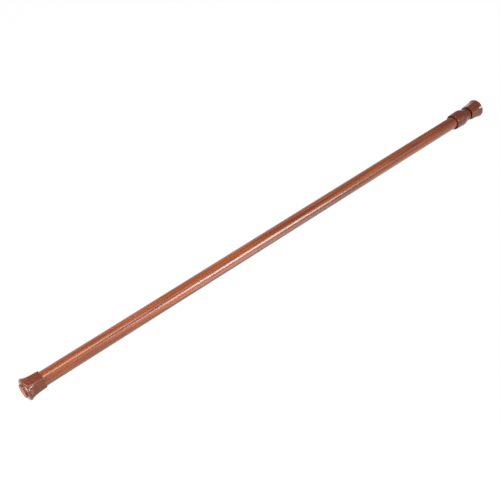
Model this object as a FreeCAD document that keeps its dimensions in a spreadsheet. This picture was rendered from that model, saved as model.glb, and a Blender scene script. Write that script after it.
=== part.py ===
import FreeCAD, Part
import math
import os

import Sketcher

# Spring tension rod: two telescoping tubes wrapped in wood-grain film, a rubber foot at each end, a collar at the
# mouth of the thicker tube, and a spring and a twist lock inside.
#
# The rod lies along X at its shortest length. The origin is the centre of the outer foot's contact face, and +X
# runs along the axis to the inner foot. Every piece is drawn in a frame of its own, with X along the rod, and is
# then placed along the rod by the Layout sheet.

doc = FreeCAD.newDocument("spring_tension_rod")

# Driving sizes in millimetres, and turns in degrees. A diameter or a width across flats is the full one.
SIZES = {
    # two tubes
    "outer_tube_diameter": "16",
    "outer_tube_wall": "0.5",
    "outer_tube_length": "662.2",
    "tube_gap": "1",
    "inner_tube_wall": "0.5",
    "inner_tube_length": "615",
    "closed_gap": "3",
    "lock_room": "5",
    # rubber foot, the same moulding at both ends
    "foot_length": "21.5",
    "foot_web": "4",
    "pad_diameter": "15",
    "pad_height": "1.8",
    "flange_diameter": "24",
    "flange_width": "4.7",
    "flange_bevel": "1.3",
    "flange_crown": "1.3",
    "flange_front_diameter": "21",
    "ridge_diameter": "22",
    "flat_mouth_width": "18.2",
    "flat_waist_width": "19",
    "waist_height": "13.5",
    "flat_runout": "0.1",
    "flat_count": "6",
    "outer_foot_turn": "5",
    "inner_foot_turn": "-19",
    # collar at the outer tube's mouth
    "collar_length": "27.5",
    "collar_body_diameter": "21.2",
    "collar_body_length": "15.5",
    "shoulder_diameter": "20.4",
    "shoulder_length": "2",
    "taper_length": "3.5",
    "nose_diameter": "17.9",
    "nose_length": "9.3",
    "collar_recess_diameter": "18.4",
    "collar_recess_depth": "6",
    # plug and reducer at the tube ends
    "plug_length": "9",
    "reducer_wall": "1.2",
    "reducer_depth": "11",
    # bush at the inner tube's hidden end and the ring that rides on it
    "end_bush_head": "4",
    "end_bush_depth": "14",
    "ring_width": "3",
    "ring_wall": "1.85",
    "ring_split": "1.5",
    # spring with its piston and stop
    "spring_travel": "35",
    "spring_length": "110",
    "coil_clearance": "0.5",
    "wire_diameter": "1.2",
    "coil_turns": "14",
    "piston_length": "8",
    "stop_length": "10",
    # spindle of the twist lock, with its eccentric journal
    "stem_across_flats": "6",
    "stem_tail_diameter": "4",
    "thrust_flange": "2",
    "thrust_flange_diameter": "11",
    "journal_diameter": "7",
    "journal_offset": "0.3",
    "tip_diameter": "5",
    # cam that turns on the journal, and the cap that keeps it there
    "cam_clearance": "0.75",
    "cam_length": "10",
    "cam_split": "1.5",
    "cap_diameter": "10",
    "cap_thickness": "2",
    # clearances
    "seat_clearance": "0.05",
    "slide_clearance": "0.1",
    "lock_clearance": "0.25",
    "end_gap": "0.2",
    "travel_margin": "1.5",
}

sizes = doc.addObject("Spreadsheet::Sheet", "Sizes")
for row, (alias, value) in enumerate(SIZES.items(), 1):
    sizes.set(f"A{row}", alias)
    sizes.set(f"B{row}", value)
    sizes.setAlias(f"B{row}", alias)
doc.recompute()

# What follows from the driving sizes: diameters of pieces that fit in a tube, and places along the rod in the order
# in which the pieces stack.
PLACES = {
    # diameters that follow from the tube a piece fits in
    "outer_bore": "Sizes.outer_tube_diameter - 2 * Sizes.outer_tube_wall",
    "inner_tube_diameter": "outer_bore - 2 * Sizes.tube_gap",
    "inner_bore": "inner_tube_diameter - 2 * Sizes.inner_tube_wall",
    "coil_diameter": "inner_bore - 2 * Sizes.coil_clearance",
    "cam_diameter": "outer_bore - 2 * Sizes.cam_clearance",
    "ring_diameter": "outer_bore - 2 * Sizes.lock_clearance",
    "ring_hole": "ring_diameter - 2 * Sizes.ring_wall",
    "ring_neck_diameter": "ring_hole - 2 * Sizes.end_gap",
    # outer tube with its plug and collar
    "plug_end": "Sizes.foot_web + Sizes.plug_length",
    "outer_tube_end": "Sizes.foot_web + Sizes.outer_tube_length",
    "nose_end": "outer_tube_end + Sizes.nose_length",
    "collar_mouth": "nose_end - Sizes.collar_length",
    # how far the lock reaches out of the inner tube
    "bush_reach": "Sizes.end_bush_head + Sizes.ring_width + 2 * Sizes.end_gap",
    "piston_seat": "Sizes.end_bush_depth + Sizes.seat_clearance",
    "stem_length": "bush_reach + piston_seat + Sizes.spring_travel + Sizes.travel_margin",
    "journal_length": "Sizes.cam_length + 2 * Sizes.end_gap",
    "lock_head": "Sizes.thrust_flange + journal_length + Sizes.cap_thickness",
    "lock_reach": "stem_length + lock_head - piston_seat",
    # the rod closes until the inner foot is near the collar, or the lock is near the plug
    "end_by_foot": "nose_end + Sizes.closed_gap + Sizes.foot_length - Sizes.foot_web - Sizes.reducer_wall",
    "end_by_lock": "plug_end + Sizes.lock_room + lock_reach + Sizes.inner_tube_length",
    "inner_tube_end": "max(end_by_foot; end_by_lock)",
    "reducer_face": "inner_tube_end + Sizes.reducer_wall",
    "closed_length": "reducer_face + Sizes.foot_web",
    # inner tube with its bush, spring and lock
    "inner_tube_start": "inner_tube_end - Sizes.inner_tube_length",
    "ring_middle": "inner_tube_start - Sizes.end_gap - Sizes.ring_width / 2",
    "piston_start": "inner_tube_start + piston_seat",
    "spring_start": "piston_start + Sizes.piston_length",
    "stop_start": "spring_start + Sizes.spring_length",
    "thrust_face": "piston_start - stem_length - Sizes.thrust_flange",
    "cam_start": "thrust_face - Sizes.end_gap - Sizes.cam_length",
    "cap_start": "thrust_face - journal_length - Sizes.cap_thickness",
}

layout = doc.addObject("Spreadsheet::Sheet", "Layout")
for row, (alias, formula) in enumerate(PLACES.items(), 1):
    layout.set(f"A{row}", alias)
    layout.set(f"B{row}", "=" + formula)
    layout.setAlias(f"B{row}", alias)
doc.recompute()

pieces = []


def number(expression):
    """Value that an expression over the two sheets has now."""
    return float(probe.evalExpression(expression))


probe = doc.addObject("App::FeaturePython", "probe")


def new_body(name, place):
    """Empty body, named for its piece and placed along the rod by an expression."""
    body = doc.addObject("PartDesign::Body", name)
    body.Label = name
    body.setExpression("Placement.Base.x", place)
    pieces.append(body)
    return body


def new_sketch(body, name, role):
    """Sketch on one of the body's own origin planes."""
    sketch = body.newObject("Sketcher::SketchObject", name)
    plane = next(f for f in body.Origin.OriginFeatures if f.Role == role)
    sketch.AttachmentSupport = [(plane, "")]
    sketch.MapMode = "FlatFace"
    return sketch


def bind_point(sketch, geometry, position, pair):
    """Hold a sketch point at a pair of expressions; the text "0" puts it on the axis itself."""
    for letter, axis, text in (("X", -2, pair[0]), ("Y", -1, pair[1])):
        if text == "0":
            sketch.addConstraint(Sketcher.Constraint("PointOnObject", geometry, position, axis))
        else:
            rule = Sketcher.Constraint("Distance" + letter, -1, 1, geometry, position, number(text))
            index = sketch.addConstraint(rule)
            sketch.setExpression(f"Constraints[{index}]", text)


def arc_between(start, end, radius, side):
    """Short arc from start to end with its centre on the left or the right of the way."""
    chord = end - start
    across = FreeCAD.Vector(-chord.y, chord.x, 0).normalize()
    height = math.sqrt(max(radius**2 - (chord.Length / 2) ** 2, 0))
    centre = (start + end) / 2 + across * (height if side == "left" else -height)
    first, last = (start, end) if side == "left" else (end, start)
    begin = math.atan2(first.y - centre.y, first.x - centre.x)
    finish = math.atan2(last.y - centre.y, last.x - centre.x)
    circle = Part.Circle(centre, FreeCAD.Vector(0, 0, 1), radius)
    return Part.ArcOfCircle(circle, begin, finish)


def draw(sketch, corners):
    """Closed outline through the corners, each a pair of expressions.

    A corner with two more entries, a radius and a side, starts an arc instead of a straight edge.
    """
    points = [FreeCAD.Vector(number(c[0]), number(c[1]), 0) for c in corners]
    edges = []
    for i, corner in enumerate(corners):
        start, end = points[i], points[(i + 1) % len(points)]
        if len(corner) == 2:
            edges.append((sketch.addGeometry(Part.LineSegment(start, end), False), 1, 2))
            continue
        radius, side = corner[2:]
        geometry = sketch.addGeometry(arc_between(start, end, number(radius), side), False)
        edges.append((geometry, 1, 2) if side == "left" else (geometry, 2, 1))
        index = sketch.addConstraint(Sketcher.Constraint("Radius", geometry, number(radius)))
        sketch.setExpression(f"Constraints[{index}]", radius)
    for i, (geometry, first, _) in enumerate(edges):
        before, _, last = edges[i - 1]
        sketch.addConstraint(Sketcher.Constraint("Coincident", before, last, geometry, first))
        bind_point(sketch, geometry, first, corners[i][:2])


def draw_circle(sketch, diameter, offset):
    """Circle whose centre is offset from the rod's axis along the sketch's y."""
    centre = FreeCAD.Vector(0, number(offset), 0)
    circle = Part.Circle(centre, FreeCAD.Vector(0, 0, 1), number(diameter) / 2)
    geometry = sketch.addGeometry(circle, False)
    index = sketch.addConstraint(Sketcher.Constraint("Diameter", geometry, number(diameter)))
    sketch.setExpression(f"Constraints[{index}]", diameter)
    bind_point(sketch, geometry, 3, ("0", offset))


def hexagon(across_flats):
    """Corners of a hexagon about the rod's axis, with two flats facing along the sketch's y."""
    half = f"({across_flats}) / 2"
    reach = f"({half} / cos(30 deg))"
    corners = []
    for degrees in (0, 60, 120, 180, 240, 300):
        y = "0" if degrees in (0, 180) else f"{reach} * sin({degrees} deg)"
        corners.append((f"{reach} * cos({degrees} deg)", y))
    return corners


def turned(name, place, corners):
    """Piece turned about the rod's axis: corners are pairs of length along X and radius."""
    body = new_body(name, place)
    sketch = new_sketch(body, name + "_profile", "XY_Plane")
    draw(sketch, corners)
    turn = body.newObject("PartDesign::Revolution", name + "_turned")
    turn.Profile = sketch
    turn.ReferenceAxis = (sketch, ["H_Axis"])
    turn.Angle = 360
    body.Tip = turn
    return body


def pad_along(body, name, start, length, corners=(), circles=()):
    """Pad an outline or circles drawn across the rod, from one place along X and over a length."""
    sketch = new_sketch(body, name + "_outline", "YZ_Plane")
    sketch.setExpression("AttachmentOffset.Base.z", start)
    if corners:
        draw(sketch, corners)
    for diameter, offset in circles:
        draw_circle(sketch, diameter, offset)
    pad = body.newObject("PartDesign::Pad", name)
    pad.Profile = sketch
    pad.setExpression("Length", length)
    body.Tip = pad
    return pad


def cut_through(body, name, role, corners, width):
    """Cut an outline out of the body, to half the width on each side of the sketch's plane."""
    sketch = new_sketch(body, name + "_outline", role)
    draw(sketch, corners)
    pocket = body.newObject("PartDesign::Pocket", name)
    pocket.Profile = sketch
    pocket.SideType = "Symmetric"
    pocket.setExpression("Length", width)
    body.Tip = pocket
    return pocket


def repeat_round(body, name, feature, count, angle):
    """Repeat a feature about the rod's axis."""
    pattern = body.newObject("PartDesign::PolarPattern", name)
    pattern.Originals = [feature]
    axis = next(f for f in body.Origin.OriginFeatures if f.Role == "X_Axis")
    pattern.Axis = (axis, [""])
    pattern.Angle = angle
    if isinstance(count, str):
        pattern.setExpression("Occurrences", count)
    else:
        pattern.Occurrences = count
    body.Tip = pattern
    return pattern


# Tubes: rolled steel with a plain cut at each end
def tube(name, place, diameter, wall, length):
    inside = f"{diameter} / 2 - {wall}"
    corners = [
        ("0", inside),
        (length, inside),
        (length, f"{diameter} / 2"),
        ("0", f"{diameter} / 2"),
    ]
    return turned(name, place, corners)


tube(
    "outer_tube",
    "Sizes.foot_web",
    "Sizes.outer_tube_diameter",
    "Sizes.outer_tube_wall",
    "Sizes.outer_tube_length",
)
tube(
    "inner_tube",
    "Layout.inner_tube_start",
    "Layout.inner_tube_diameter",
    "Sizes.inner_tube_wall",
    "Sizes.inner_tube_length",
)


# Rubber foot: a raised pad inside a flange with bevelled edges, and a six-sided sleeve whose flats flare out to the
# flange. Where two flats meet, the edge opens into a triangle at the flange.
FOOT_BORE = "Sizes.outer_tube_diameter / 2 + Sizes.seat_clearance"
FLANGE_BACK = "(Sizes.pad_height + Sizes.flange_width)"
CROWN_START = "Sizes.pad_height + Sizes.flange_bevel"
CROWN_END = f"{CROWN_START} + Sizes.flange_crown"
RIDGE = "Sizes.ridge_diameter / 2"


def foot(name, place, bore):
    body = turned(
        name,
        place,
        [
            ("0", "0"),
            ("Sizes.foot_web", "0"),
            ("Sizes.foot_web", bore),
            ("Sizes.foot_length", bore),
            ("Sizes.foot_length", RIDGE),
            (FLANGE_BACK, RIDGE),
            (CROWN_END, "Sizes.flange_diameter / 2"),
            (CROWN_START, "Sizes.flange_diameter / 2"),
            ("Sizes.pad_height", "Sizes.flange_front_diameter / 2"),
            ("Sizes.pad_height", "Sizes.pad_diameter / 2"),
            ("0", "Sizes.pad_diameter / 2"),
        ],
    )
    # one flat: straight along the sleeve, then an arc tangent to it that runs out at the flange
    mouth = "Sizes.flat_mouth_width / 2"
    waist = "Sizes.flat_waist_width / 2"
    slope = f"(({waist} - {mouth}) / (Sizes.foot_length - Sizes.waist_height))"
    run = f"(Sizes.waist_height - {FLANGE_BACK})"
    rise = f"({RIDGE} + Sizes.flat_runout - {waist})"
    flare = f"({run} ^ 2 + {rise} ^ 2) * sqrt(1 + {slope} ^ 2) / 2 / ({rise} - {slope} * {run})"
    outside = "Sizes.flange_diameter / 2"
    flat = cut_through(
        body,
        name + "_flat",
        "XZ_Plane",
        [
            ("Sizes.foot_length", mouth),
            ("Sizes.foot_length", outside),
            (FLANGE_BACK, outside),
            (FLANGE_BACK, f"{RIDGE} + Sizes.flat_runout", flare, "left"),
            ("Sizes.waist_height", waist),
        ],
        "Sizes.flange_diameter",
    )
    repeat_round(body, name + "_flats", flat, "Sizes.flat_count", 360)
    return body


ROD_AXIS = FreeCAD.Vector(1, 0, 0)
UP = FreeCAD.Vector(0, 0, 1)
outer_foot = foot("outer_foot", "0", FOOT_BORE)
outer_foot.Placement.Rotation = FreeCAD.Rotation(ROD_AXIS, number("Sizes.outer_foot_turn"))

# The inner foot is the same moulding turned end for end
inner_foot = foot("inner_foot", "Layout.closed_length", FOOT_BORE)
end_for_end = FreeCAD.Rotation(UP, 180)
inner_foot.Placement.Rotation = end_for_end * FreeCAD.Rotation(
    ROD_AXIS, number("Sizes.inner_foot_turn")
)

# Collar: a bottle-shaped moulding that grips the outer tube's mouth and narrows to a nose round the inner tube
shoulder_end = "Sizes.collar_body_length + Sizes.shoulder_length"
stop_face = "Sizes.collar_length - Sizes.nose_length"
grip = "Sizes.outer_tube_diameter / 2 + Sizes.seat_clearance"
nose_bore = "Layout.inner_tube_diameter / 2 + Sizes.slide_clearance"
turned(
    "mouth_collar",
    "Layout.collar_mouth",
    [
        ("0", "Sizes.collar_body_diameter / 2"),
        ("0", "Sizes.collar_recess_diameter / 2"),
        ("Sizes.collar_recess_depth", "Sizes.collar_recess_diameter / 2"),
        ("Sizes.collar_recess_depth", grip),
        (stop_face, grip),
        (stop_face, nose_bore),
        ("Sizes.collar_length", nose_bore),
        ("Sizes.collar_length", "Sizes.nose_diameter / 2"),
        (f"{shoulder_end} + Sizes.taper_length", "Sizes.nose_diameter / 2"),
        (shoulder_end, "Sizes.shoulder_diameter / 2"),
        ("Sizes.collar_body_length", "Sizes.collar_body_diameter / 2"),
    ],
)

# Plug that closes the outer tube inside its foot
tube_bore = "Layout.outer_bore / 2"
plug_outside = f"{tube_bore} - Sizes.seat_clearance"
turned(
    "outer_end_plug",
    "Sizes.foot_web",
    [
        ("0", "0"),
        ("Sizes.plug_length", "0"),
        ("Sizes.plug_length", plug_outside),
        ("0", plug_outside),
    ],
)

# Cup that makes the inner tube's end up to the foot's bore
reducer_bore = "Layout.inner_tube_diameter / 2 + Sizes.seat_clearance"
reducer_mouth = "-Sizes.reducer_wall - Sizes.reducer_depth"
turned(
    "foot_reducer",
    "Layout.reducer_face",
    [
        ("0", "0"),
        ("-Sizes.reducer_wall", "0"),
        ("-Sizes.reducer_wall", reducer_bore),
        (reducer_mouth, reducer_bore),
        (reducer_mouth, "Sizes.outer_tube_diameter / 2"),
        ("0", "Sizes.outer_tube_diameter / 2"),
    ],
)

# Bush in the inner tube's hidden end, with a hexagonal hole for the spindle and a neck for the guide ring
stem_hole = "Sizes.stem_across_flats + 2 * Sizes.slide_clearance"
inner_bore = "Layout.inner_bore / 2"
bush_spigot = f"{inner_bore} - Sizes.seat_clearance"
neck_start = "-Sizes.ring_width - 2 * Sizes.end_gap"
core = "Sizes.stem_across_flats / 2 + Sizes.slide_clearance"
end_bush = turned(
    "end_bush",
    "Layout.inner_tube_start",
    [
        (f"{neck_start} - Sizes.end_bush_head", core),
        ("Sizes.end_bush_depth", core),
        ("Sizes.end_bush_depth", bush_spigot),
        ("0", bush_spigot),
        ("0", "Layout.ring_neck_diameter / 2"),
        (neck_start, "Layout.ring_neck_diameter / 2"),
        (neck_start, "Layout.inner_tube_diameter / 2"),
        (f"{neck_start} - Sizes.end_bush_head", "Layout.inner_tube_diameter / 2"),
    ],
)
hole_sketch = new_sketch(end_bush, "stem_hole_outline", "YZ_Plane")
draw(hole_sketch, hexagon(stem_hole))
hole = end_bush.newObject("PartDesign::Pocket", "stem_hole")
hole.Profile = hole_sketch
hole.SideType = "Symmetric"
hole.setExpression("Length", "2 * Layout.stem_length")
end_bush.Tip = hole

# Split ring that snaps round the bush's neck and keeps the inner tube centred in the outer one
ring_inside = "Layout.ring_hole / 2"
ring_outside = "Layout.ring_diameter / 2"
ring = turned(
    "guide_ring",
    "Layout.ring_middle",
    [
        ("-Sizes.ring_width / 2", ring_inside),
        ("Sizes.ring_width / 2", ring_inside),
        ("Sizes.ring_width / 2", ring_outside),
        ("-Sizes.ring_width / 2", ring_outside),
    ],
)
cut_through(
    ring,
    "ring_split",
    "XZ_Plane",
    [
        ("-Sizes.ring_width", "0"),
        ("Sizes.ring_width", "0"),
        ("Sizes.ring_width", "Sizes.outer_tube_diameter"),
        ("-Sizes.ring_width", "Sizes.outer_tube_diameter"),
    ],
    "Sizes.ring_split",
)

# Stop fixed in the inner tube behind the spring
turned(
    "spring_stop",
    "Layout.stop_start",
    [
        ("0", "0"),
        ("Sizes.stop_length", "0"),
        ("Sizes.stop_length", bush_spigot),
        ("0", bush_spigot),
    ],
)

# Piston that the spring pushes towards the end bush, pressed on the spindle's tail
tail_hole = "Sizes.stem_tail_diameter / 2 + Sizes.seat_clearance"
piston_outside = f"{inner_bore} - Sizes.lock_clearance"
turned(
    "piston",
    "Layout.piston_start",
    [
        ("0", tail_hole),
        ("Sizes.piston_length", tail_hole),
        ("Sizes.piston_length", piston_outside),
        ("0", piston_outside),
    ],
)

# Spindle: a hexagonal stem that slides in the end bush and turns with it, a thrust flange, and a journal and tip
# that stand off the rod's axis
stem_radius = "Sizes.stem_across_flats / 2"
thrust_radius = "Sizes.thrust_flange_diameter / 2"
stem_end = "Sizes.thrust_flange + Layout.stem_length"
spindle = turned(
    "lock_spindle",
    "Layout.thrust_face",
    [
        ("0", "0"),
        (f"{stem_end} + Sizes.piston_length", "0"),
        (f"{stem_end} + Sizes.piston_length", "Sizes.stem_tail_diameter / 2"),
        (stem_end, "Sizes.stem_tail_diameter / 2"),
        (stem_end, stem_radius),
        ("Sizes.thrust_flange", stem_radius),
        ("Sizes.thrust_flange", thrust_radius),
        ("0", thrust_radius),
    ],
)
pad_along(
    spindle,
    "hexagonal_stem",
    "Sizes.thrust_flange",
    "Layout.stem_length",
    corners=hexagon("Sizes.stem_across_flats"),
)
pad_along(
    spindle,
    "journal",
    "-Layout.journal_length",
    "Layout.journal_length",
    circles=[("Sizes.journal_diameter", "Sizes.journal_offset")],
)
pad_along(
    spindle,
    "tip",
    "-Layout.journal_length - Sizes.cap_thickness",
    "Sizes.cap_thickness",
    circles=[("Sizes.tip_diameter", "Sizes.journal_offset")],
)

# Cam: round with the tube while the lock is undone, and pushed against the tube's wall when the journal turns in it
cam = new_body("lock_cam", "Layout.cam_start")
pad_along(
    cam,
    "cam_ring",
    "0",
    "Sizes.cam_length",
    circles=[
        ("Layout.cam_diameter", "0"),
        ("Sizes.journal_diameter + 2 * Sizes.slide_clearance", "Sizes.journal_offset"),
    ],
)
cut_through(
    cam,
    "cam_split",
    "XZ_Plane",
    [
        ("-Sizes.cam_length", "0"),
        ("2 * Sizes.cam_length", "0"),
        ("2 * Sizes.cam_length", "Layout.cam_diameter"),
        ("-Sizes.cam_length", "Layout.cam_diameter"),
    ],
    "Sizes.cam_split",
)

# Cap pressed on the spindle's tip
cap = new_body("cam_cap", "Layout.cap_start")
pad_along(
    cap,
    "cap_disc",
    "0",
    "Sizes.cap_thickness",
    circles=[
        ("Sizes.cap_diameter", "Sizes.journal_offset"),
        ("Sizes.tip_diameter + 2 * Sizes.seat_clearance", "Sizes.journal_offset"),
    ],
)

doc.recompute()

# Spring: a wire swept round the rod's axis in short straight runs, with one closed turn at each end
RUNS_PER_TURN = 7
WIRE_SIDES = 5


def spring_shape():
    wire = sizes.get("wire_diameter")
    radius = (number("Layout.coil_diameter") - wire) / 2
    gap = sizes.get("seat_clearance")
    turns = sizes.get("coil_turns")
    reach = sizes.get("spring_length") - wire - 2 * gap
    end_rise = wire + gap
    pitch = (reach - 2 * end_rise) / (turns - 2)
    points = []
    for run in range(int(round(turns * RUNS_PER_TURN)) + 1):
        turn = run / RUNS_PER_TURN
        along = min(turn, 1) * end_rise
        along += min(max(turn - 1, 0), turns - 2) * pitch
        along += max(turn - turns + 1, 0) * end_rise
        angle = 2 * math.pi * turn
        points.append(
            FreeCAD.Vector(
                gap + wire / 2 + along, radius * math.cos(angle), radius * math.sin(angle)
            )
        )
    path = Part.makePolygon(points)
    # the wire's section stands square to the first run, and its corners lie half a wire from the middle
    ahead = (points[1] - points[0]).normalize()
    out = FreeCAD.Vector(0, 1, 0)
    out = (out - ahead * out.dot(ahead)).normalize()
    beside = ahead.cross(out)
    section = []
    for corner in range(WIRE_SIDES + 1):
        angle = 2 * math.pi * (corner + 0.5) / WIRE_SIDES
        section.append(
            points[0] + out * (wire / 2 * math.cos(angle)) + beside * (wire / 2 * math.sin(angle))
        )
    right_corner = 1
    return path.makePipeShell([Part.makePolygon(section)], True, False, right_corner)


spring = doc.addObject("Part::Feature", "spring")
spring.Label = "spring"
spring.Shape = spring_shape()
spring.Placement.Base = FreeCAD.Vector(number("Layout.spring_start"), 0, 0)
pieces.append(spring)
doc.recompute()

# Check every object before anything is written
for item in doc.Objects:
    if "Invalid" in item.State or "Error" in item.State:
        raise RuntimeError(f"{item.Label} failed: {item.State}")
for piece in pieces:
    shape = piece.Shape
    if shape.isNull() or not shape.isValid() or len(shape.Solids) != 1:
        raise RuntimeError(f"{piece.Label} is not one valid solid")

os.makedirs("parts", exist_ok=True)
for piece in pieces:
    piece.Shape.exportStep(os.path.join("parts", piece.Label + ".step"))
    box = piece.Shape.BoundBox
    print(f"{piece.Label}: x {box.XMin:.2f} to {box.XMax:.2f} mm, {piece.Shape.Volume:.1f} mm3")
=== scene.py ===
# %% [markdown]
# A spring tension rod in wood-grain film
#
# This lesson dresses a telescopic rod for a photograph-like picture. The rod is two steel tubes in wood-grain film,
# a brown rubber foot at each end and a bottle-shaped collar where the thinner tube comes out of the thicker one.
# The exact solids come first, as a frame that nothing may move. Each piece that shows is then made again as a
# finer mesh in the same place, because a solid made for fitting has few facets and sharp edges.

# %% Load the frame
import math

import bmesh
import bpy
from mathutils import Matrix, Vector


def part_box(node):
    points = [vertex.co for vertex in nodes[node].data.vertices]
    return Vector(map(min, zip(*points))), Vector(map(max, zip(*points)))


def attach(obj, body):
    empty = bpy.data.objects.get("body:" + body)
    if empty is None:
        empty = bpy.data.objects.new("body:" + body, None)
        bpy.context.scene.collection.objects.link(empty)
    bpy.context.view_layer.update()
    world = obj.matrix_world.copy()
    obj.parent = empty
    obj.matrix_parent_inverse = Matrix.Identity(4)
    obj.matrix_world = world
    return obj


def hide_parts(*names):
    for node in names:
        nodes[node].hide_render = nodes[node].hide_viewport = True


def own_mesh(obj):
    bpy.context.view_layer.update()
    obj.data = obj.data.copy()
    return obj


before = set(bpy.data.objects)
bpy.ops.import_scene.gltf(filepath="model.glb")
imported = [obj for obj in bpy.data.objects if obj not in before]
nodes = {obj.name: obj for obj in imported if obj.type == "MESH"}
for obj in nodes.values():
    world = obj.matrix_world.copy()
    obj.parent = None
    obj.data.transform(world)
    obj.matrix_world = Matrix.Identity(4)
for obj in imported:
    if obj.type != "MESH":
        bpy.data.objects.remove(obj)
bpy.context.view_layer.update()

print("pieces in the frame:", ", ".join(sorted(nodes)))

# %% [markdown]
# The camera
#
# The rod runs away from the camera, so its far end looks thinner, and how much thinner gives the distance. A lens
# of a little under 60 mm on a 36 mm film, about 0.9 m away, gives the same taper. The camera could also be moved by
# hand until the outline fits, but angles and a distance say in words where the photographer stood.

# %% Set the camera
CAMERA_AZIMUTH = 318.94
CAMERA_ELEVATION = 45.96
CAMERA_DISTANCE = 0.8935
CAMERA_TARGET = Vector((0.2893, -0.00055, -0.0004))
LENS, FILM_WIDTH = 57.09, 36.0
NEAREST_SEEN = 0.01


def add_object(name, data):
    """New object in the scene, from a mesh, a camera or a lamp."""
    thing = bpy.data.objects.new(name, data)
    bpy.context.scene.collection.objects.link(thing)
    return thing


def direction(azimuth, elevation):
    """Unit vector from the rod to a viewer; azimuth 0 stands on the -Y side."""
    a, e = math.radians(azimuth), math.radians(elevation)
    return Vector((math.sin(a) * math.cos(e), -math.cos(a) * math.cos(e), math.sin(e)))


def aim(thing, place, target):
    """Put a camera or a lamp at a place and point it at a target."""
    thing.location = place
    thing.rotation_euler = (place - target).to_track_quat("Z", "Y").to_euler()


camera = add_object("camera", bpy.data.cameras.new("camera"))
camera.data.lens = LENS
camera.data.sensor_width = FILM_WIDTH
camera.data.clip_start = NEAREST_SEEN
toward_camera = direction(CAMERA_AZIMUTH, CAMERA_ELEVATION)
aim(camera, CAMERA_TARGET + CAMERA_DISTANCE * toward_camera, CAMERA_TARGET)
bpy.context.scene.camera = camera
bpy.context.scene.view_settings.view_transform = "Standard"
print("camera at", [round(x, 4) for x in camera.location])

# %% [markdown]
# Working with nodes
#
# The room, the floor and every finish are node trees. They could be drawn by hand in the editor, but the same few
# moves come back all the time: make a node, feed a socket or a number into it, and mix two shaders. A small helper
# for each of these moves keeps the trees short enough to read.

# %% Helpers for nodes
WHITE = (1, 1, 1, 1)


def add_node(tree, kind, links=(), **values):
    """New node; values set its properties or its sockets by name, and links joins sockets to its inputs."""
    node = tree.nodes.new(kind)
    for key, value in values.items():
        if hasattr(node, key):
            setattr(node, key, value)
        else:
            node.inputs[key.replace("_", " ").title()].default_value = value
    for name, source in dict(links).items():
        tree.links.new(source, node.inputs[name])
    return node


def feed(tree, value, socket):
    """Link an output into an input, or set the input to a plain value."""
    if hasattr(value, "links"):
        tree.links.new(value, socket)
    else:
        socket.default_value = value


def combine(tree, operation, first, second):
    """One number from two."""
    node = add_node(tree, "ShaderNodeMath", operation=operation)
    feed(tree, first, node.inputs[0])
    feed(tree, second, node.inputs[1])
    return node.outputs[0]


def mix_shaders(tree, factor, first, second):
    """The first shader where the factor is 0, and the second where it is 1."""
    node = add_node(tree, "ShaderNodeMixShader", {"Fac": factor})
    tree.links.new(first.outputs[0], node.inputs[1])
    tree.links.new(second.outputs[0], node.inputs[2])
    return node


print("node helpers: add_node, feed, combine, mix_shaders")

# %% [markdown]
# The room
#
# The rod lies in front of plain white. A backdrop lit hard enough would give that too, but its light would wash
# over the rod. So only rays from the camera, mirror rays and rays through clear things see the full white: the light
# that falls on the rod stays at a plain level, and its colours come out about as they are written. In mirrors the
# room is dimmer overhead and toward the far end, as a real room is, so the far end of the rod keeps its deeper
# colour.

# %% Set the world
WORLD_FILL = 0.19
CEILING = 0.33
# the room dims from the first to the second value: of the height of a direction, and of its lean along the rod
OVERHEAD = (0.4, 0.8)
FAR_END = (0.5, 0.68)


def seen_directly(tree):
    """1 for rays from the camera, mirror rays and rays through clear things, and 0 for the light on surfaces."""
    path = add_node(tree, "ShaderNodeLightPath")
    total = path.outputs["Is Camera Ray"]
    for name in ("Is Glossy Ray", "Is Transmission Ray"):
        total = combine(tree, "MAXIMUM", total, path.outputs[name])
    return total


def fade(tree, value, start, end):
    """0 up to the start of a range, and 1 from its end."""
    node = add_node(tree, "ShaderNodeMapRange", {"Value": value}, clamp=True)
    node.inputs["From Min"].default_value = start
    node.inputs["From Max"].default_value = end
    return node.outputs[0]


world = bpy.data.worlds.new("studio")
bpy.context.scene.world = world
world.use_nodes = True
sky = world.node_tree
sky.nodes.clear()
plain = add_node(sky, "ShaderNodeBackground", Color=WHITE, Strength=WORLD_FILL)
white = add_node(sky, "ShaderNodeBackground", Color=WHITE, Strength=1.0)
either = mix_shaders(sky, seen_directly(sky), plain, white)
ceiling = add_node(sky, "ShaderNodeBackground", Color=WHITE, Strength=CEILING)
way = add_node(sky, "ShaderNodeSeparateXYZ")
sky.links.new(add_node(sky, "ShaderNodeTexCoord").outputs["Generated"], way.inputs[0])
dim = combine(sky, "MAXIMUM", fade(sky, way.outputs["Z"], *OVERHEAD), fade(sky, way.outputs["X"], *FAR_END))
mirrored = add_node(sky, "ShaderNodeLightPath").outputs["Is Glossy Ray"]
room = mix_shaders(sky, combine(sky, "MULTIPLY", dim, mirrored), either, ceiling)
add_node(sky, "ShaderNodeOutputWorld", {"Surface": room.outputs[0]})
print("world of", len(sky.nodes), "nodes, with a fill of", WORLD_FILL)

# %% [markdown]
# The floor
#
# The floor is a sheet of white paper well below the rod, so that the shadow on it is soft and faint. A shadow catcher
# would show the shadow alone, but a real sheet also throws light back up at the rod. To the camera it glows as white
# as the room, apart from a small share of matt paper, which keeps the shadow.

# %% Lay the floor
FLOOR_DROP, FLOOR_REACH = 0.50, 6.0
PAPER = (0.85, 0.85, 0.85, 1)
PAPER_GLOW, GLOW_SHARE = 1.05, 0.92

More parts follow.
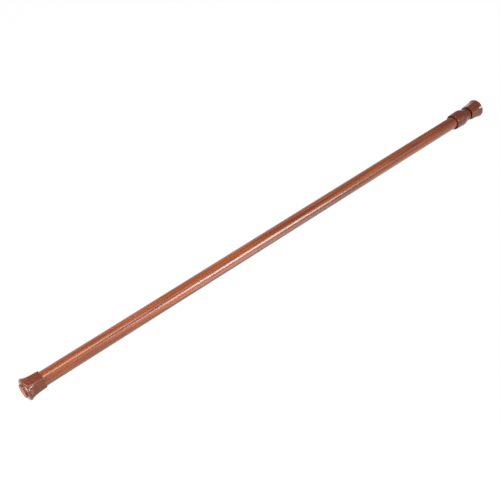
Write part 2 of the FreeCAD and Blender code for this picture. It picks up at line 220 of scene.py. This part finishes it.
floor_mesh = bpy.data.meshes.new("floor")
floor_mesh.from_pydata(
    [(x * FLOOR_REACH, y * FLOOR_REACH, -FLOOR_DROP) for x, y in ((-1, -1), (1, -1), (1, 1), (-1, 1))],
    [],
    [(0, 1, 2, 3)],
)
floor = add_object("floor", floor_mesh)
paper = bpy.data.materials.new("white_paper")
paper.use_nodes = True
tree = paper.node_tree
tree.nodes.clear()
matt = add_node(tree, "ShaderNodeBsdfDiffuse", Color=PAPER)
glow = add_node(tree, "ShaderNodeEmission", Color=WHITE, Strength=PAPER_GLOW)
surface = mix_shaders(tree, combine(tree, "MULTIPLY", seen_directly(tree), GLOW_SHARE), matt, glow)
add_node(tree, "ShaderNodeOutputMaterial", {"Surface": surface.outputs[0]})
floor_mesh.materials.append(paper)
print("floor", FLOOR_DROP, "m below the rod's axis")

# %% [markdown]
# The lamps
#
# A round glossy rod shows each lamp as a line along it, and where the line lies tells where the lamp hangs. The
# photograph has a warm line on the near third, from a strip just above it, and a white line along the middle, from
# a large lamp far off in front. A card low in front gives the pale lower side. Two more lamps stand toward the near
# end, where the rod can't mirror them to the camera: one lights it softly from above, and one lights the near pad.
# A picture of a studio wrapped round the scene could do all this at once, but lamps can be moved one by one.

# %% Hang the lamps
LAMPS = {
    # name: angle round the rod in degrees (90 is overhead, 180 is the front), distance from the axis, place along
    # the rod, place on the rod it aims at, length, width, power in watts, colour
    "soft_overhead": (78, 0.8, -0.14, 0.28, 0.30, 0.60, 3.6, (1.0, 0.97, 0.93)),
    "warm_strip": (103, 0.45, 0.17, 0.17, 0.26, 0.17, 0.78, (1.0, 0.93, 0.80)),
    "white_strip": (146, 6.0, 3.27, 0.27, 1.75, 2.70, 218.0, (1.0, 0.98, 0.98)),
    "front_card": (201, 0.62, 0.65, 0.65, 0.44, 0.50, 1.35, (1.0, 0.93, 0.87)),
    "end_panel": (125, 0.12, -0.50, 0.0, 0.30, 0.30, 3.0, (1.0, 0.90, 0.80)),
}


def hang_lamp(name, angle, distance, along, aims_at, length, width, power, colour):
    """Rectangular lamp beside the rod, turned toward a place on its axis."""
    a = math.radians(angle)
    lamp = add_object(name, bpy.data.lights.new(name, "AREA"))
    lamp.data.shape = "RECTANGLE"
    lamp.data.size, lamp.data.size_y = length, width
    lamp.data.energy = power
    lamp.data.color = colour
    aim(lamp, Vector((along, distance * math.cos(a), distance * math.sin(a))), Vector((aims_at, 0, 0)))


for name, settings in LAMPS.items():
    hang_lamp(name, *settings)
print("lamps:", ", ".join(LAMPS))

# %% [markdown]
# Turned skins
#
# The tubes, the collar and most of each foot are turned: one profile spun about the rod's axis. A screw modifier
# could spin a curve, but the feet also have six flats, whose radius changes with the angle. So one helper takes
# rings of points, as many as the form needs, and joins them with faces. A profile is a list of stations, each a
# place along the rod and a radius, in millimetres.

# %% Helpers for turned pieces
MM = 0.001
AROUND, FINE_AROUND = 128, 360
TURNED_SHARP = 35


def finish_mesh(form, name, sharp):
    """Object from a form: smooth, apart from edges where it turns by more than so many degrees."""
    bmesh.ops.recalc_face_normals(form, faces=form.faces)
    mesh = bpy.data.meshes.new(name)
    form.to_mesh(mesh)
    form.free()
    mesh.shade_smooth()
    mesh.set_sharp_from_angle(angle=math.radians(sharp))
    print(name, "has", len(mesh.polygons), "faces")
    return add_object(name, mesh)


def ring_of(x, radius, around):
    """Points round the axis at x; radius is a number or a function of the angle, in millimetres."""
    points = []
    for i in range(around):
        angle = 2 * math.pi * i / around
        r = radius(angle) if callable(radius) else radius
        points.append(Vector((x, r * math.cos(angle), r * math.sin(angle))) * MM)
    return points


def skin(name, stations, around=AROUND, loop=True):
    """Closed mesh through stations of (x, radius); a station of zero radius closes an end with one point."""
    form = bmesh.new()
    rings = []
    for x, radius in stations:
        points = [Vector((x * MM, 0, 0))] if radius == 0 else ring_of(x, radius, around)
        rings.append([form.verts.new(p) for p in points])
    pairs = list(zip(rings, rings[1:]))
    if loop:
        pairs.append((rings[-1], rings[0]))
    for first, second in pairs:
        for i in range(around):
            j = (i + 1) % around
            corners = [first[i % len(first)], first[j % len(first)]]
            corners += [second[j % len(second)], second[i % len(second)]]
            form.faces.new(dict.fromkeys(corners))
    return finish_mesh(form, name, TURNED_SHARP)


print("rings of", AROUND, "points, and of", FINE_AROUND, "where there are flats")

# %% [markdown]
# Lines for the profiles
#
# A moulding's profile is a chain of rounded edges, straight runs and free curves. Curve objects could draw them, but
# plain lists of stations can be joined with a plus sign. The free curve passes through every measured point.

# %% Helpers for profiles


def quarter(x, r, radius, start, end, steps=6):
    """Stations along an arc about (x, r), from one angle to another in degrees; 0 points along the rod."""
    arc = []
    for i in range(steps + 1):
        angle = math.radians(start + (end - start) * i / steps)
        arc.append((x + radius * math.cos(angle), r + radius * math.sin(angle)))
    return arc


def spread(first, last, count):
    """Stations evenly along a straight line, without its ends."""
    (x0, r0), (x1, r1) = first, last
    return [(x0 + (x1 - x0) * i / count, r0 + (r1 - r0) * i / count) for i in range(1, count)]


def curve_between(p, q, r, s, t):
    """Number on the curve from q to r at t from 0 to 1; p and s, the points beside them, give its slopes."""
    bend = 2 * p - 5 * q + 4 * r - s
    twist = 3 * q - p - 3 * r + s
    return 0.5 * (2 * q + (r - p) * t + bend * t**2 + twist * t**3)


def smooth_line(points, steps):
    """Stations on a smooth curve that passes through every point."""
    ends = [points[0]] + points + [points[-1]]
    line = []
    for a, b, c, d in zip(ends, ends[1:], ends[2:], ends[3:]):
        for i in range(steps):
            line.append(tuple(curve_between(p, q, r, s, i / steps) for p, q, r, s in zip(a, b, c, d)))
    return line + [points[-1]]


print("a quarter round has", len(quarter(0, 0, 1, 0, 90)), "stations")

# %% [markdown]
# The two tubes
#
# Each tube is thin steel, cut square, with the burr taken off. The outer one shows nearly all its length. The
# inner one shows only in the narrow gap beside the collar until the rod is drawn out. A cylinder with a solidify
# modifier would leave the cut ends sharp. Here one profile runs along the outside, round the cut and back along the
# bore, so the ends catch the light.

# %% Make the tubes
TUBE_WALL, CUT_EDGE = 0.5, 0.12
ROWS_OUTSIDE, ROWS_INSIDE, CUT_STEPS = 90, 30, 3


def make_tube(name, node):
    """Tube in the place of its solid."""
    low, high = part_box(node)
    start, end = low.x / MM + CUT_EDGE, high.x / MM - CUT_EDGE
    outside = high.z / MM
    inside = outside - TUBE_WALL
    rows = quarter(start, outside - CUT_EDGE, CUT_EDGE, 180, 90, CUT_STEPS)
    rows += spread((start, outside), (end, outside), ROWS_OUTSIDE)
    rows += quarter(end, outside - CUT_EDGE, CUT_EDGE, 90, 0, CUT_STEPS)
    rows += quarter(end, inside + CUT_EDGE, CUT_EDGE, 0, -90, CUT_STEPS)
    rows += spread((end, inside), (start, inside), ROWS_INSIDE)
    rows += quarter(start, inside + CUT_EDGE, CUT_EDGE, 270, 180, CUT_STEPS)
    piece = skin(name, rows)
    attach(piece, node)
    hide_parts(node)
    return piece


outer_tube = make_tube("film_outer_tube", "outer_tube")
inner_tube = make_tube("film_inner_tube", "inner_tube")

# %% [markdown]
# The rubber feet
#
# A foot is one rubber moulding: a round pad that meets the wall, a rounded rim, and a six-sided sleeve whose flats
# flare out to the rim. Where two flats meet, the edge opens into a triangle that flares too. The sleeve's radius at
# any angle is the smallest of its turned body and the two nearest flats. A soft minimum rounds the edge between them,
# as rubber leaves the mould; a bevel modifier would need clean edge loops that the flares don't have.

# %% Shape of the six-sided sleeve
FOOT_LENGTH = 21.5
RIDGE = 11.0
MOUTH_FLAT, DRAFT = 9.1, 0.0533
FLARE_START, RIM_BACK, RUNOUT = 16.5, 5.7, 0.1
FLARE_POWER = 2.6
SOFT_EDGE = 0.7
FLAT_STEP = 60


def flat_distance(x):
    """Distance of a flat from the axis: nearly straight along the sleeve, then a flare that runs out at the rim."""
    straight = MOUTH_FLAT + DRAFT * (FOOT_LENGTH - x)
    rise = RIDGE + RUNOUT - MOUTH_FLAT - DRAFT * (FOOT_LENGTH - RIM_BACK)
    return straight + rise * (max(FLARE_START - x, 0) / (FLARE_START - RIM_BACK)) ** FLARE_POWER


def soft_min(a, b, soft):
    """The smaller of two lengths, with the corner between them rounded."""
    mix = min(max(0.5 + 0.5 * (b - a) / soft, 0), 1)
    return b + (a - b) * mix - soft * mix * (1 - mix)


def sleeve_radius(x, turn, body=RIDGE, less=0.0):
    """Radius of the sleeve as a function of the angle round the rod; turn puts a flat that far from the top."""
    distance = flat_distance(x)
    half = FLAT_STEP / 2

    def radius(angle):
        away = abs((math.degrees(angle) - turn - 90 + half) % FLAT_STEP - half)
        near = distance / math.cos(math.radians(away))
        next_one = distance / math.cos(math.radians(FLAT_STEP - away))
        return soft_min(body, soft_min(near, next_one, SOFT_EDGE), SOFT_EDGE) - less

    return radius


print("flats from", MOUTH_FLAT, "mm at the mouth to", round(flat_distance(RIM_BACK), 2), "mm at the rim")

# %% Make the feet
PAD, PAD_HEIGHT, PAD_EDGE, PAD_FOOT = 7.5, 1.8, 0.45, 0.3
PAD_RINGS = (2.0, 4.0, 5.8)
RIM_LINE = [
    (1.85, 10.45),
    (2.4, 11.2),
    (3.0, 11.75),
    (3.75, 12.0),
    (4.5, 11.9),
    (5.4, 11.68),
    (6.4, 11.48),
    (7.4, 11.3),
    (8.6, 11.12),
    (10.0, 11.02),
    (11.4, 11.0),
]
FLATS_FROM = 4.8
SLEEVE_ROWS, MOUTH_STEPS = 30, 6
MOUTH_ROUND = 0.45
TUBE_SEAT, LEAD_IN, LEAD_IN_DEPTH, WEB = 8.05, 0.45, 3.0, 4.0
OUTER_TURN, INNER_TURN = 5, -19


def foot_stations(turn):
    """Stations from the middle of the pad, over the rim and along the sleeve, to the bottom of the bore."""
    rows = [(0, 0)] + [(0, r) for r in PAD_RINGS]
    rows += quarter(PAD_EDGE, PAD - PAD_EDGE, PAD_EDGE, 180, 90)
    rows += quarter(PAD_HEIGHT - PAD_FOOT, PAD + PAD_FOOT, PAD_FOOT, 270, 360, 4)
    rows += spread((PAD_HEIGHT, PAD + PAD_FOOT), RIM_LINE[0], 4)
    for x, r in smooth_line(RIM_LINE, 6):
        rows.append((x, sleeve_radius(x, turn, r) if x > FLATS_FROM else r))
    sleeve_start, sleeve_end = RIM_LINE[-1][0], FOOT_LENGTH - MOUTH_ROUND
    for i in range(1, SLEEVE_ROWS + 1):
        x = sleeve_start + (sleeve_end - sleeve_start) * i / SLEEVE_ROWS
        rows.append((x, sleeve_radius(x, turn)))
    for i in range(1, MOUTH_STEPS + 1):
        angle = math.radians(90 * i / MOUTH_STEPS)
        x = sleeve_end + MOUTH_ROUND * math.sin(angle)
        rows.append((x, sleeve_radius(x, turn, less=MOUTH_ROUND * (1 - math.cos(angle)))))
    mouth = (FOOT_LENGTH, TUBE_SEAT + LEAD_IN)
    throat = (FOOT_LENGTH - LEAD_IN_DEPTH, TUBE_SEAT)
    bottom = (WEB, TUBE_SEAT)
    rows += [mouth] + spread(mouth, throat, 4) + [throat] + spread(throat, bottom, 6)
    return rows + [bottom, (WEB, TUBE_SEAT / 2), (WEB, 0)]


def make_foot(name, node, body, turn, end_for_end):
    """Foot in the place of its solid; end_for_end turns it about the upright axis to face the other way."""
    piece = skin(name, foot_stations(turn), around=FINE_AROUND, loop=False)
    if end_for_end:
        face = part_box(node)[1].x
        for vertex in piece.data.vertices:
            x, y, z = vertex.co
            vertex.co = (face - x, -y, z)
    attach(piece, body)
    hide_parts(node)
    return piece


outer_foot = make_foot("rubber_outer_foot", "outer_foot", "outer_tube", OUTER_TURN, False)
inner_foot = make_foot("rubber_inner_foot", "inner_foot", "inner_tube", INNER_TURN, True)

# %% [markdown]
# The collar
#
# The collar is a hard moulding, widest near its shoulder, like a small bottle. Its mouth is wider than the tube, so
# a dark ring shows there. The outside is a smooth line through a few measured points; a chain of arcs would do
# too, but would show a break where two arcs meet.

# %% Make the collar
COLLAR_LINE = [
    (0.6, 10.22),
    (5.0, 10.48),
    (10.0, 10.72),
    (14.0, 10.8),
    (16.2, 10.68),
    (18.2, 10.1),
    (19.8, 9.4),
    (21.4, 9.02),
    (23.5, 8.95),
    (27.1, 8.95),
]
RECESS, RECESS_DEPTH = 9.0, 6.0
LIP_INSIDE, LIP_OUTSIDE = 0.25, 0.6
NOSE_ROUND, NOSE_EDGE, NOSE_BORE = 0.4, 0.3, 6.6
TUBE_STOP = 18.2


def make_collar(name, node):
    """Collar in the place of its solid, from the recess over the lip and along the outside to the bore."""
    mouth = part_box(node)[0].x / MM
    (nose_end, nose), lip = COLLAR_LINE[-1], COLLAR_LINE[0][1]
    length = nose_end + NOSE_ROUND
    rows = [(RECESS_DEPTH, TUBE_SEAT), (RECESS_DEPTH, RECESS), (RECESS_DEPTH / 2, RECESS)]
    rows += quarter(LIP_INSIDE, RECESS + LIP_INSIDE, LIP_INSIDE, 270, 180, 4)
    rows += quarter(LIP_OUTSIDE, lip - LIP_OUTSIDE, LIP_OUTSIDE, 180, 90)[:-1]
    rows += smooth_line(COLLAR_LINE, 5)
    rows += quarter(nose_end, nose - NOSE_ROUND, NOSE_ROUND, 90, 0)
    rows += quarter(length - NOSE_EDGE, NOSE_BORE + NOSE_EDGE, NOSE_EDGE, 0, -90, 4)
    rows += [(TUBE_STOP, NOSE_BORE), (TUBE_STOP, TUBE_SEAT)]
    piece = skin(name, [(mouth + x, r) for x, r in rows])
    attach(piece, "outer_tube")
    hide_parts(node)
    return piece


mouth_collar = make_collar("moulded_mouth_collar", "mouth_collar")

# %% [markdown]
# The spring
#
# The spring is hidden, but it is the one piece that changes shape, as it shortens with the joint; so it is made as a
# real coil of round wire. A curve with a bevel would do for a picture; a mesh can be squashed.

# %% Make the spring
WIRE, COIL, TURNS = 1.2, 11.0, 14
# the two end turns lie closed: they rise by a little more than the wire's own thickness
CLOSED_RISE = 1.04
RUNS_PER_TURN, WIRE_SIDES, WIRE_SHARP = 28, 10, 40


def wire_ring(start, pitch, turn):
    """Points round the wire after so many turns of the coil."""
    rise = WIRE * CLOSED_RISE
    x = start + min(turn, 1) * rise + min(max(turn - 1, 0), TURNS - 2) * pitch
    x += max(turn - TURNS + 1, 0) * rise
    angle = 2 * math.pi * turn
    out = Vector((0, math.cos(angle), math.sin(angle)))
    middle = Vector((x, 0, 0)) + (COIL - WIRE) / 2 * out
    ring = []
    for k in range(WIRE_SIDES):
        a = 2 * math.pi * k / WIRE_SIDES
        offset = out * math.cos(a) + Vector((1, 0, 0)) * math.sin(a)
        ring.append((middle + offset * WIRE / 2) * MM)
    return ring


def make_spring(name, node):
    """Spring in the place of its solid, as it stands; the real spring shortens toward its fixed end as the joint
    moves.
    """
    low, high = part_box(node)
    start, end = low.x / MM + WIRE / 2, high.x / MM - WIRE / 2
    pitch = (end - start - 2 * WIRE * CLOSED_RISE) / (TURNS - 2)
    form = bmesh.new()
    rings = []
    for i in range(TURNS * RUNS_PER_TURN + 1):
        rings.append([form.verts.new(p) for p in wire_ring(start, pitch, i / RUNS_PER_TURN)])
    for first, second in zip(rings, rings[1:]):
        for k in range(WIRE_SIDES):
            m = (k + 1) % WIRE_SIDES
            form.faces.new((first[k], first[m], second[m], second[k]))
    form.faces.new(rings[0])
    form.faces.new(rings[-1])
    piece = finish_mesh(form, name, WIRE_SHARP)
    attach(piece, "inner_tube")
    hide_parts(node)
    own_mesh(piece)
    return piece


spring = make_spring("coiled_spring", "spring")

# %% [markdown]
# Finishes from noise
#
# A moulded or printed surface is never one flat colour. Painted images could carry the change, but they have seams
# and run out of detail close up. Noise in the piece's own space has neither fault: a ramp turns it into colours or
# greys, and its stretch along the rod decides whether it reads as clouds or as grain.

# %% Helpers for finishes
GRAIN_PLACE = (11.7, 3.9, -6.4)


def colour(red, green, blue):
    """Colour from 0 to 255 values on screen, as the shader wants it."""
    linear = []
    for value in (red, green, blue):
        v = value / 255
        linear.append(v / 12.92 if v <= 0.04045 else ((v + 0.055) / 1.055) ** 2.4)
    return (*linear, 1.0)


def grey(value):
    """The same value in red, green and blue."""
    return (value, value, value, 1)


def new_material(name, **sockets):
    """Material with its tree and its main shader; sockets of the shader are set by name."""
    material = bpy.data.materials.new(name)
    material.use_nodes = True
    shader = material.node_tree.nodes["Principled BSDF"]
    for socket, value in sockets.items():
        shader.inputs[socket.replace("_", " ")].default_value = value
    return material, material.node_tree, shader


def grain(tree, stretch, detail=3.0, rough=0.55):
    """Noise over the piece's own space, with so many repeats a metre along X, Y and Z."""
    place = add_node(tree, "ShaderNodeTexCoord")
    scaled = add_node(tree, "ShaderNodeMapping", {"Vector": place.outputs["Object"]})
    scaled.inputs["Location"].default_value = GRAIN_PLACE
    scaled.inputs["Scale"].default_value = stretch
    noise = add_node(tree, "ShaderNodeTexNoise", {"Vector": scaled.outputs[0]})
    noise.inputs["Scale"].default_value = 1.0
    noise.inputs["Detail"].default_value = detail
    noise.inputs["Roughness"].default_value = rough
    return noise.outputs["Fac"]


def ramp(tree, factor, stops):
    """Colours or greys along a factor."""
    node = add_node(tree, "ShaderNodeValToRGB", {"Fac": factor})
    elements = node.color_ramp.elements
    while len(elements) < len(stops):
        elements.new(0.5)
    for element, (position, shade) in zip(elements, stops):
        element.position = position
        element.color = shade
    return node.outputs["Color"]


def blend_colours(tree, factor, first, second, mode="MIX"):
    """Two colours in one, by a factor."""
    node = add_node(tree, "ShaderNodeMix", data_type="RGBA", blend_type=mode)
    for index, value in ((0, factor), (6, first), (7, second)):
        feed(tree, value, node.inputs[index])
    return node.outputs[2]


print("half grey on screen is", round(colour(128, 128, 128)[0], 3), "in a shader")

# %% [markdown]
# Wood-grain film
#
# The film is a printed picture of reddish wood under a clear glossy face. Four noises do it, all stretched along
# the rod: broad streaks of light and dark, finer lines within them, short dark pores, and a slow change of tone. An
# image would repeat; noise in the piece's own space runs round the tube without a seam.

# %% Make the wood film
LINES_SHARE = 0.45

film, tree, shader = new_material("wood_grain_film", IOR=1.6, Roughness=0.21)
streaks = grain(tree, (6, 300, 300), 2.0)
lines = grain(tree, (10, 800, 800), 2.0)
pores = grain(tree, (22, 950, 950), 1.0)
tone = grain(tree, (5, 60, 60), 1.0)
wood = ramp(
    tree,
    streaks,
    [
        (0.32, colour(74, 30, 18)),
        (0.42, colour(132, 61, 32)),
        (0.56, colour(164, 82, 41)),
        (0.72, colour(182, 102, 53)),
    ],
)
fine_wood = ramp(tree, lines, [(0.38, colour(84, 35, 20)), (0.60, colour(184, 98, 51))])
wood = blend_colours(tree, LINES_SHARE, wood, fine_wood)
dark_pores = ramp(tree, pores, [(0.30, grey(0.6)), (0.40, grey(0.0))])
wood = blend_colours(tree, dark_pores, wood, colour(86, 38, 27))
slow_tone = ramp(tree, tone, [(0.3, grey(0.9)), (0.7, grey(1.0))])
wood = blend_colours(tree, 1.0, wood, slow_tone, "MULTIPLY")
tree.links.new(wood, shader.inputs["Base Color"])
gloss = ramp(tree, lines, [(0.3, grey(0.22)), (0.7, grey(0.20))])
tree.links.new(gloss, shader.inputs["Roughness"])
for piece in (outer_tube, inner_tube):
    piece.data.materials.append(film)
print("film on", outer_tube.name, "and", inner_tube.name)

# %% [markdown]
# Rubber and moulded plastic
#
# The feet and the collar are close in colour. The rubber is satin, with faint clouds and a fine skin; the collar is
# harder and a little darker. Both need a soft gloss, because the edges of the mouldings are drawn by highlights. The
# fine skin could be sculpted, but a faint bump is enough at this size. The pad that meets the wall is matt, and its
# paler colour is painted light on the lit end face: a second material on the same mesh, as it is one moulding.

# %% Make the rubber and the collar's plastic
SKIN_BUMP = 0.1
FINE_SKIN = 0.00001


def moulded(name, dark, light, rough, cloud, skin_scale, skin_depth):
    """Moulded rubber or plastic: clouds between two colours, a gloss that follows them, and a fine skin."""
    material, tree, shader = new_material(name, IOR=1.5, Roughness=rough)
    clouds = grain(tree, (cloud, cloud, cloud), 4.0)
    body = ramp(tree, clouds, [(0.35, dark), (0.65, light)])
    tree.links.new(body, shader.inputs["Base Color"])
    polish = ramp(tree, clouds, [(0.3, grey(rough - 0.05)), (0.7, grey(rough + 0.06))])
    tree.links.new(polish, shader.inputs["Roughness"])
    fine = grain(tree, (skin_scale, skin_scale, skin_scale), 3.0)
    bump = add_node(tree, "ShaderNodeBump", {"Height": fine}, Strength=SKIN_BUMP, Distance=skin_depth)
    tree.links.new(bump.outputs[0], shader.inputs["Normal"])
    return material


rubber = moulded("brown_rubber", colour(115, 56, 39), colour(127, 64, 45), 0.15, 220, 2600, FINE_SKIN)
plastic = moulded("brown_plastic", colour(110, 50, 34), colour(120, 57, 40), 0.22, 160, 3200, FINE_SKIN)
# the pad is the same brown rubber; its paler colour is painted light, a lit copy of the rubber for the end face
pad = moulded("pad_rubber_painted_light", colour(144, 93, 76), colour(154, 101, 83), 0.55, 220, 2600, FINE_SKIN)
for foot, face_x in ((outer_foot, 0.0), (inner_foot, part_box("inner_foot")[1].x)):
    foot.data.materials.append(rubber)
    foot.data.materials.append(pad)
    # the faces of the pad get the paler copy, with painted light on the end face
    for polygon in foot.data.polygons:
        if abs(polygon.center.x - face_x) < PAD_EDGE * MM:
            polygon.material_index = 1
mouth_collar.data.materials.append(plastic)
print("feet in", rubber.name, "with", pad.name, "and collar in", plastic.name)

# %% [markdown]
# Inner pieces
#
# The bushes, the piston and the lock are sealed in the tubes. They could be made again like the rest, but nothing
# opens the rod, so they keep their solids and get plain honest finishes: natural nylon, black acetal and plated
# steel.

# %% Finish the inner pieces
COARSE_SKIN = 0.00004


def metal(name, dark, light, rough, brush):
    """Drawn or plated metal: fine lines between two greys, and a gloss that follows them."""
    material, tree, shader = new_material(name, Metallic=1.0, Roughness=rough)
    lines = grain(tree, brush, 3.0)
    body = ramp(tree, lines, [(0.3, dark), (0.7, light)])
    tree.links.new(body, shader.inputs["Base Color"])
    polish = ramp(tree, lines, [(0.3, grey(rough - 0.06)), (0.7, grey(rough + 0.08))])
    tree.links.new(polish, shader.inputs["Roughness"])
    return material


nylon = moulded("natural_nylon", colour(214, 208, 194), colour(230, 226, 214), 0.42, 300, 3000, COARSE_SKIN)
acetal = moulded("black_acetal", colour(30, 30, 32), colour(42, 42, 45), 0.36, 300, 3000, COARSE_SKIN)
plated = metal("plated_steel", colour(168, 168, 166), colour(196, 196, 192), 0.32, (400, 2400, 2400))
wire = metal("spring_wire", colour(120, 121, 124), colour(152, 152, 154), 0.3, (2200, 900, 900))
INNER_FINISH = {
    nylon: ("outer_end_plug", "foot_reducer", "end_bush", "spring_stop", "lock_cam"),
    acetal: ("guide_ring", "piston"),
    plated: ("lock_spindle", "cam_cap"),
}
for finish, names in INNER_FINISH.items():
    for name in names:
        nodes[name].data.materials.clear()
        nodes[name].data.materials.append(finish)
spring.data.materials.append(wire)
print("inner finishes:", ", ".join(m.name for m in INNER_FINISH), "and", wire.name)
